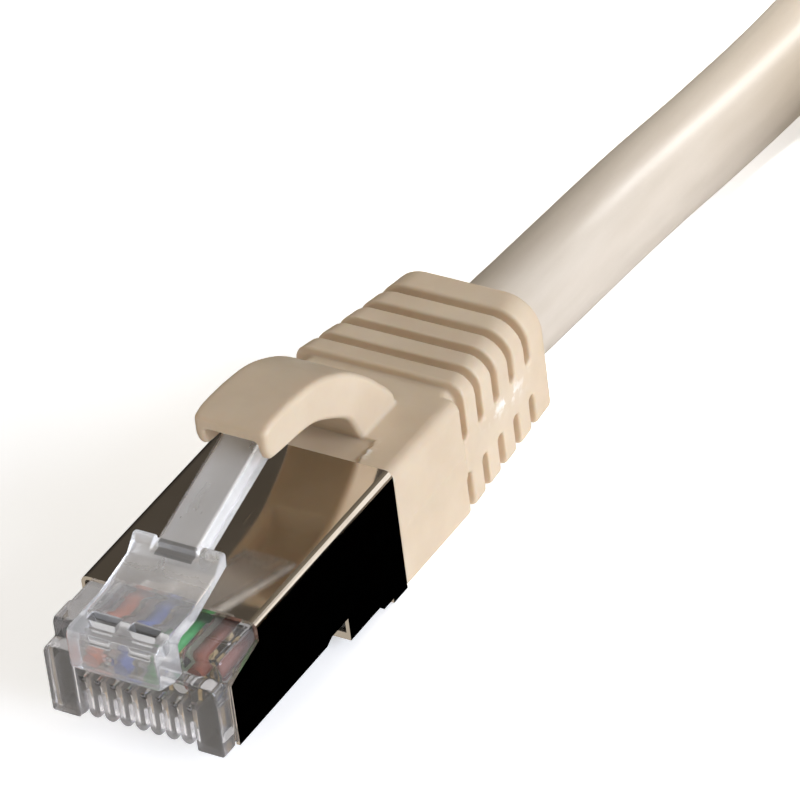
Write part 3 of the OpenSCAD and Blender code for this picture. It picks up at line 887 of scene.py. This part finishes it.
def clear_material(name, colour, clear, frosted, streak, transmission):
    """Clear polycarbonate: the mark frosts it, streak draws its grain out along the plug, and the mesh's
    painted light (painted shade and painted highlights) is multiplied into its colour.
    """
    material, tree, shader = new_material(name, colour, clear, Transmission_Weight=transmission, IOR=1.5)
    grain = noise(tree, 700, 4, stretch=(1, streak, 1))
    uneven = ramp_between(tree, grain, [(0.3, (0.55,) * 3), (0.7, (1.0,) * 3)])
    share = maths(tree, "MULTIPLY", attribute(tree, "mark"), uneven)
    gloss = ramp_between(tree, share, [(0.0, (clear,) * 3), (1.0, (frosted,) * 3)])
    tree.links.new(gloss, shader.inputs["Roughness"])
    tone = ramp_between(tree, noise(tree, 350, 3), [(0.3, tuple(c * 0.93 for c in colour)), (0.7, colour)])
    # Painted shade and painted highlights from the mesh, multiplied into the colour
    tone_with_painted_light = mix_colours(tree, "MULTIPLY", tone, attribute(tree, "painted_light"))
    tree.links.new(tone_with_painted_light, shader.inputs["Base Color"])
    bump(tree, shader, grain, 0.03, 0.00001)
    return material


def gold_material():
    """Gold flash over nickel, brushed by the stamping."""
    material, tree, shader = new_material("contact_gold", (0.66, 0.48, 0.22), 0.25, Metallic=1.0)
    tone = ramp_between(tree, noise(tree, 900, 3), [(0.3, (0.60, 0.43, 0.19)), (0.7, (0.70, 0.53, 0.27))])
    tree.links.new(tone, shader.inputs["Base Color"])
    bump(tree, shader, noise(tree, 4000, 2, stretch=(4, 1, 0.3)), 0.15, 0.00001)
    return material


WIRE_SLOTS = (
    "wire_white_orange", "wire_orange", "wire_white_green", "wire_blue",
    "wire_white_blue", "wire_green", "wire_white_brown", "wire_brown",
)
ORANGE, GREEN, BLUE, BROWN = (0.95, 0.19, 0.04), (0.03, 0.42, 0.10), (0.03, 0.12, 0.60), (0.19, 0.05, 0.025)
WIRE_COLOURS = (ORANGE, ORANGE, GREEN, BLUE, BLUE, GREEN, BROWN, BROWN)


def wire_material(n):
    """Polyethylene insulation; the odd wires are white with two stripes in their pair's colour."""
    colour = WIRE_COLOURS[n - 1]
    material, tree, shader = new_material(WIRE_SLOTS[n - 1], colour, 0.4)
    mottled = noise(tree, 800, 3)
    if n % 2:
        white = (0.92, 0.90, 0.86)
        wave = maths(tree, "PINGPONG", attribute(tree, "around"), 0.25)
        stripe = ramp_between(tree, wave, [(0.035, colour), (0.055, white)])
        tree.links.new(stripe, shader.inputs["Base Color"])
    else:
        darker, lighter = tuple(c * 0.85 for c in colour), tuple(min(1, c * 1.12) for c in colour)
        tone = ramp_between(tree, mottled, [(0.3, darker), (0.7, lighter)])
        tree.links.new(tone, shader.inputs["Base Color"])
    bump(tree, shader, mottled, 0.15, 0.00002)
    return material


def fabric_material():
    """Dark woven hook-and-loop fabric."""
    material, tree, shader = new_material("tie_fabric", (0.03, 0.03, 0.032), 0.85, Sheen_Weight=0.3)
    coords = tree.nodes.new("ShaderNodeTexCoord")
    heights = []
    for direction in ("X", "Y"):
        wave = tree.nodes.new("ShaderNodeTexWave")
        wave.bands_direction = direction
        wave.inputs["Scale"].default_value = 420
        wave.inputs["Distortion"].default_value = 1.5
        wave.inputs["Detail Scale"].default_value = 3
        tree.links.new(coords.outputs["Object"], wave.inputs["Vector"])
        heights.append(wave.outputs["Fac"])
    weave = maths(tree, "MULTIPLY", *heights)
    tone = ramp_between(tree, weave, [(0.1, (0.012, 0.012, 0.013)), (0.8, (0.06, 0.06, 0.064))])
    tree.links.new(tone, shader.inputs["Base Color"])
    bump(tree, shader, weave, 0.6, 0.0001)
    return material


def dress(node, material):
    """Gives a CAD node a material."""
    node.data.materials.clear()
    node.data.materials.append(material)


def dress_shield(node, material):
    """Nickel on a CAD shield, with its sheet edges eased and its flat faces kept flat."""
    dress(node, material)
    ease_edges(node, 0.09, 3, 40)
    even = node.modifiers.new("even", "WEIGHTED_NORMAL")
    even.mode = "FACE_AREA"
    even.weight = 80


def make_lights():
    """A large low key from the right, small fills round the plug and a spot over the seen cable's end."""
    area_light("key", (0.8, 0.0, 0.3), (0, 0.01, 0), 0.55, 6.9, (0.90, 0.98, 1.15))
    area_light("front", (-0.37, -0.47, 0.53), (0, 0.01, 0), 0.3, 0.25, (1.0, 0.95, 0.88))
    area_light("top", (0.05, -0.25, 0.85), (0, 0.0, 0), 0.5, 0.44, (1.0, 0.88, 0.7))
    area_light("behind", (0.47, 0.54, 0.37), (0, 0.01, 0), 0.5, 0.75, (1, 1, 1), 0.32)
    area_light("left", (-0.6, 0.3, 0.3), (0, 0.01, 0), 0.3, 0.45)
    data = bpy.data.lights.new("end", "SPOT")
    data.energy = 5.8
    data.spot_size = math.radians(20)
    data.spot_blend = 1.0
    data.shadow_soft_size = 0.03
    spot = bpy.data.objects.new("end", data)
    bpy.context.scene.collection.objects.link(spot)
    spot.location = (0.06, 0.19, 0.2)
    spot.rotation_euler = (spot.location - Vector((0.0045, 0.079, 0))).to_track_quat("Z", "Y").to_euler()
    spot.visible_camera = False


def both_plugs(near):
    """A piece at the near plug, and its copy at the far plug."""
    far = copy_to(near, near.name.replace("near", "far"), PLUGS["far"] - PLUGS["near"])
    return {"near": near, "far": far}


def make_plug_pieces():
    """The shaped pieces of both plugs, and the CAD pieces in their finishes."""
    boot = boot_material()
    clear = clear_material("clear_plastic_body", (1.0, 0.965, 0.94), 0.04, 0.25, 1.0, 0.86)
    frosted = clear_material("clear_plastic_latch", (1.0, 0.99, 0.98), 0.04, 0.4, 0.25, 0.81)
    nickel, gold = nickel_material(), gold_material()
    soft = both_plugs(make_solid(
        "near_boot_moulding", boot_field, (-6.2, 13.5, -0.3), (6.2, 40.1, 15.6), 0.125, boot, boot_marks
    ))
    body = both_plugs(make_solid(
        "near_housing_moulding", housing_field, (-6.01, 1.0, 0.69), (6.01, 21.0, 8.5), 0.085, clear,
        housing_marks, 7.6
    ))
    latch = both_plugs(make_solid(
        "near_latch_moulding", latch_field, (-3.4, -0.3, 6.2), (3.4, 16.7, 13.9), 0.075, frosted, latch_marks
    ))
    wires = [wire_material(n) for n in range(1, 9)]
    for end in PLUGS:
        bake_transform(soft[end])
        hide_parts(f"{end}_boot", f"{end}_boot_hood")
        body[end].visible_shadow = latch[end].visible_shadow = False
        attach(body[end], ROOT)
        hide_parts(f"{end}_housing")
        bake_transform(latch[end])
        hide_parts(f"{end}_latch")
        for n in range(1, 9):
            make_wire(end, n, wires[n - 1])
            if end == "near":
                blade = make_contacts(f"near_contact_{n}_blade", [n], end, gold)
                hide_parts(f"near_contact_{n}")
    far_blades = make_contacts("far_contact_blades", range(1, 9), "far", gold)
    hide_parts("far_contacts")
    for name, node in frame["nodes"].items():
        if "shield" in name:
            dress_shield(node, nickel)
        elif "load_bar" in name:
            dress(node, clear)
    return [soft["far"], body["far"], latch["far"], far_blades]


def make_all():
    """Builds the scene: camera and cable first, then everything else."""
    make_camera()
    cable = make_cable(jacket_material())
    make_world()
    make_floor()
    make_lights()
    on_cable = make_plug_pieces()
    on_cable.append(make_tie(fabric_material()))
    on_cable += [frame["nodes"][name] for name in ("far_shield", "far_load_bar")]
    on_cable += [bpy.data.objects[f"far_wire_{n}_insulation"] for n in range(1, 9)]
    bpy.context.scene.view_settings.view_transform = "Standard"


make_all()
